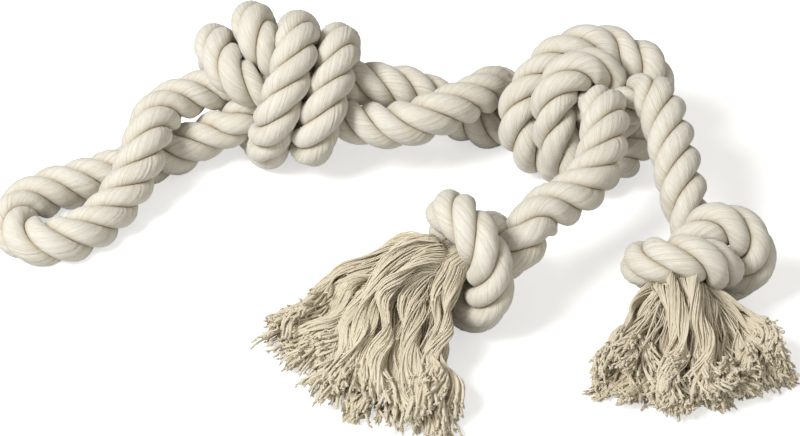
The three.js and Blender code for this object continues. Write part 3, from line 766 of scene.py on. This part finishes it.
def lock_shells(middle, neighbours, spread, chance):
    """The yarns of one strand end, combed out along the lock in wavy clumps, with blunt cut tips.
    Some low ones lean over to the locks beside it and close the gaps between them."""
    whole = run_along(middle)[-1] / PAST_TIP
    u = np.linspace(0, 1, YARN_STEPS) ** 0.85
    spots = clump_spots(chance)
    reaches = chance.normal(0, 0.03, CLUMPS_PER_LOCK)
    wave = chance.uniform(0.034, 0.052, 2)
    start = chance.random((2, 1, 2)) * 2 * math.pi + spots @ chance.normal(0, 1.7, (2, 2, 2))
    rise = chance.uniform(0.4, 1.3, (CLUMPS_PER_LOCK, 1))
    curls = chance.normal(0, 0.004, (CLUMPS_PER_LOCK, 3))
    shells = []
    for n in range(YARNS_PER_LOCK):
        stray = n < STRAYS_PER_LOCK
        loose, angle = chance.random() ** (0.16 if n % 10 < 6 else 0.5), chance.random() * 2 * math.pi
        own = loose * np.array([math.cos(angle), math.sin(angle)])
        clump = int(np.argmin(((spots - own) ** 2).sum(axis=1)))
        short = MOST_SHORT * chance.random() * max(0, 0.5 + own[1])
        share = u * (spread[2] + reaches[clump] - (0 if stray else short))
        line = at_share(middle, share)
        if n % 4 == 3 and own[1] < 0.3:
            other = neighbours[n // 4 % len(neighbours)]
            lean = (chance.uniform(0.2, 0.5) * smoothstep(0.05, 0.5, share))[:, None]
            line = line * (1 - lean) + lean * at_share(other, share)
        along = np.gradient(line, axis=0)
        along /= np.linalg.norm(along, axis=1)[:, None]
        side = np.cross((0, 0, 1), along)
        side /= np.linalg.norm(side, axis=1)[:, None]
        top = np.cross(along, side)
        swell = smoothstep(0, 0.18, share)
        flare = smoothstep(0.45, 1, share)
        wide = ROOT_WIDE + OPEN_WIDE * swell + (TIP_WIDE - ROOT_WIDE - OPEN_WIDE) * flare
        thick = ROOT_THICK + OPEN_THICK * swell + (TIP_THICK - ROOT_THICK - OPEN_THICK) * flare
        line[:, 2] += (thick - LOCK_ROOT) * 0.8
        gathered = smoothstep(0.3, 0.65, share)[:, None]
        frayed = smoothstep(0.78, 1, share)[:, None]
        turn = 2 * math.pi * whole / BUNDLE_TURN * np.maximum(0, share - 0.2)
        off = own - spots[clump]
        off = np.stack([off[0] * np.cos(turn) - off[1] * np.sin(turn),
                        off[0] * np.sin(turn) + off[1] * np.cos(turn)], axis=1)
        spot = spots[clump] + off * (1 - 0.3 * gathered + 0.12 * frayed)
        wavy = smoothstep(0.22, 0.65, share)[:, None] * rise[clump]
        run = share[:, None] * whole
        sway = WAVES[0] * np.sin(2 * math.pi * run / wave[0] + start[0][clump])
        sway = (sway + WAVES[1] * np.sin(2 * math.pi * run / wave[1] + start[1][clump])) * wavy
        halfway, tips = spread[0][int(own[0] > 0)], spread[1][int(own[0] > 0)]
        opened = 1 + (halfway - 1) * swell + (tips - halfway) * flare
        off_side = wide * spot[:, 0] * opened + sway[:, 0]
        off_top = thick * spot[:, 1] + sway[:, 1] * WAVE_UP
        line = line + side * off_side[:, None] + top * off_top[:, None]
        curl = curls[clump] + chance.normal(0, 0.005 if stray else 0.0022, 3)
        line = line + (np.maximum(0, u - 0.72) ** 2 * 12.8)[:, None] * curl
        radius = LOOSE_YARN_RADIUS * chance.uniform(0.85, 1.15) * yarn_share(u)
        radius[-1] *= 0.7
        line[:, 2] = np.maximum(line[:, 2], radius)
        # Painted shade: yarns lying low in a lock, under the others, are mixed towards the shade colour,
        # less at their tips.
        under_yarn_shade = np.clip(0.02 - 0.45 * off_top / thick, 0, 0.55) * smoothstep(0.1, 0.4, u)
        under_yarn_shade[-3:] *= 0.3
        tint = chance.random()
        shells.append(tube(line, radius, YARN_SIDES, tint, under_yarn_shade, chance))
        shells += tip_fibres(line, tint, chance)
    return shells


def add_tassel(rope, name, run, outward, locks, spreads, seed):
    end = rope.sample(rope.place, run)
    roots = [strand_root(rope, run, outward, strand) for strand in range(3)]
    firsts = [np.array([end[0] + s[0][0], end[1] + s[0][1], s[0][2]]) for s in locks]
    orders = [(0, 1, 2), (1, 2, 0), (2, 0, 1), (0, 2, 1), (2, 1, 0), (1, 0, 2)]
    order = min(orders, key=lambda o: sum(((firsts[i] - roots[o[i]]) ** 2).sum() for i in range(3)))
    heading = np.mean([s[-1][:2] for s in locks], axis=0)
    heading = np.r_[heading / np.linalg.norm(heading), 0]
    middles = [lock_line(roots[order[i]], outward, end, steps) for i, steps in enumerate(locks)]
    for i, middle in enumerate(middles):
        chance = np.random.default_rng(seed + i)
        neighbours = middles[1:] if i == 0 else middles[:1]
        shells = lock_shells(middle, neighbours, spreads[i], chance)
        piece = add_piece(f"{name}_lock_{i + 1}", shells, tassel_cotton)
        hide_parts(f"{name}_lock_{i + 1}")
        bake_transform(piece)


# How far each lock opens to its two sides, halfway along it and at the tips, and its share of length.
LEFT_SPREADS = [
    ((1, 1), (1, 1), 1.06),
    ((1.7, 0.7), (1.15, 0.5), 1),
    ((1, 1.1), (0.8, 1.35), 1.03),
]
RIGHT_SPREADS = [
    ((1.1, 1.1), (1.1, 1.1), 0.98),
    ((0.3, 1.1), (0.3, 1.1), 1),
    ((1.1, 0.3), (1.1, 0.35), 0.97),
]
add_tassel(rope, "left_tassel", 0.0, -rope.along[0], LEFT_LOCKS, LEFT_SPREADS,
           seed=40)
add_tassel(rope, "right_tassel", rope.length, rope.along[-1], RIGHT_LOCKS, RIGHT_SPREADS,
           seed=50)


# Floor and light

FLOOR_SIZE = 8
FLOOR_GREY = 0.72
FLOOR_GLOW = 0.58
WORLD_COLOUR = (1, 0.95, 0.86)
WORLD_LIGHT = 0.34
TOY_CENTRE = (0.09, -0.08, 0.03)


def add_floor():
    bpy.ops.object.select_all(action="DESELECT")
    bpy.ops.mesh.primitive_plane_add(size=FLOOR_SIZE, location=(0, 0, 0))
    floor = bpy.context.object
    floor.name = "floor"
    material, nodes, links, shader = node_tree("pale_floor")
    shader.inputs["Base Color"].default_value = (FLOOR_GREY, FLOOR_GREY, FLOOR_GREY, 1)
    shader.inputs["Roughness"].default_value = 1
    shader.inputs["Specular IOR Level"].default_value = 0
    glow = nodes.new("ShaderNodeEmission")
    seen = nodes.new("ShaderNodeLightPath")
    lift = nodes.new("ShaderNodeMath")
    lift.operation = "MULTIPLY"
    lift.inputs[1].default_value = FLOOR_GLOW
    plain = nodes.new("ShaderNodeMath")
    plain.operation = "MAXIMUM"
    links.new(seen.outputs["Is Glossy Ray"], plain.inputs[0])
    links.new(seen.outputs["Is Transmission Ray"], plain.inputs[1])
    shown = nodes.new("ShaderNodeMath")
    shown.operation = "MAXIMUM"
    links.new(seen.outputs["Is Camera Ray"], shown.inputs[0])
    links.new(plain.outputs["Value"], shown.inputs[1])
    links.new(shown.outputs["Value"], lift.inputs[0])
    links.new(lift.outputs["Value"], glow.inputs["Strength"])
    both = nodes.new("ShaderNodeAddShader")
    links.new(shader.outputs["BSDF"], both.inputs[0])
    links.new(glow.outputs["Emission"], both.inputs[1])
    links.new(both.outputs["Shader"], nodes["Material Output"].inputs["Surface"])
    floor.data.materials.append(material)


def add_lamp(name, place, target, size, power):
    data = bpy.data.lights.new(name, "AREA")
    data.size = size
    data.energy = power
    lamp = bpy.data.objects.new(name, data)
    bpy.context.scene.collection.objects.link(lamp)
    lamp.location = place
    lamp.rotation_mode = "QUATERNION"
    lamp.rotation_quaternion = (Vector(target) - Vector(place)).to_track_quat("-Z", "Y")


add_floor()
add_lamp("key", (-1.25, -1.0, 1.9), TOY_CENTRE, size=0.8, power=56)
add_lamp("fill", (0.9, -1.3, 0.8), TOY_CENTRE, size=1.2, power=2.5)
world = bpy.data.worlds.new("studio")
world.use_nodes = True
world.node_tree.nodes["Background"].inputs["Color"].default_value = (*WORLD_COLOUR, 1)
world.node_tree.nodes["Background"].inputs["Strength"].default_value = WORLD_LIGHT
bpy.context.scene.world = world
bpy.context.scene.view_settings.view_transform = "Standard"
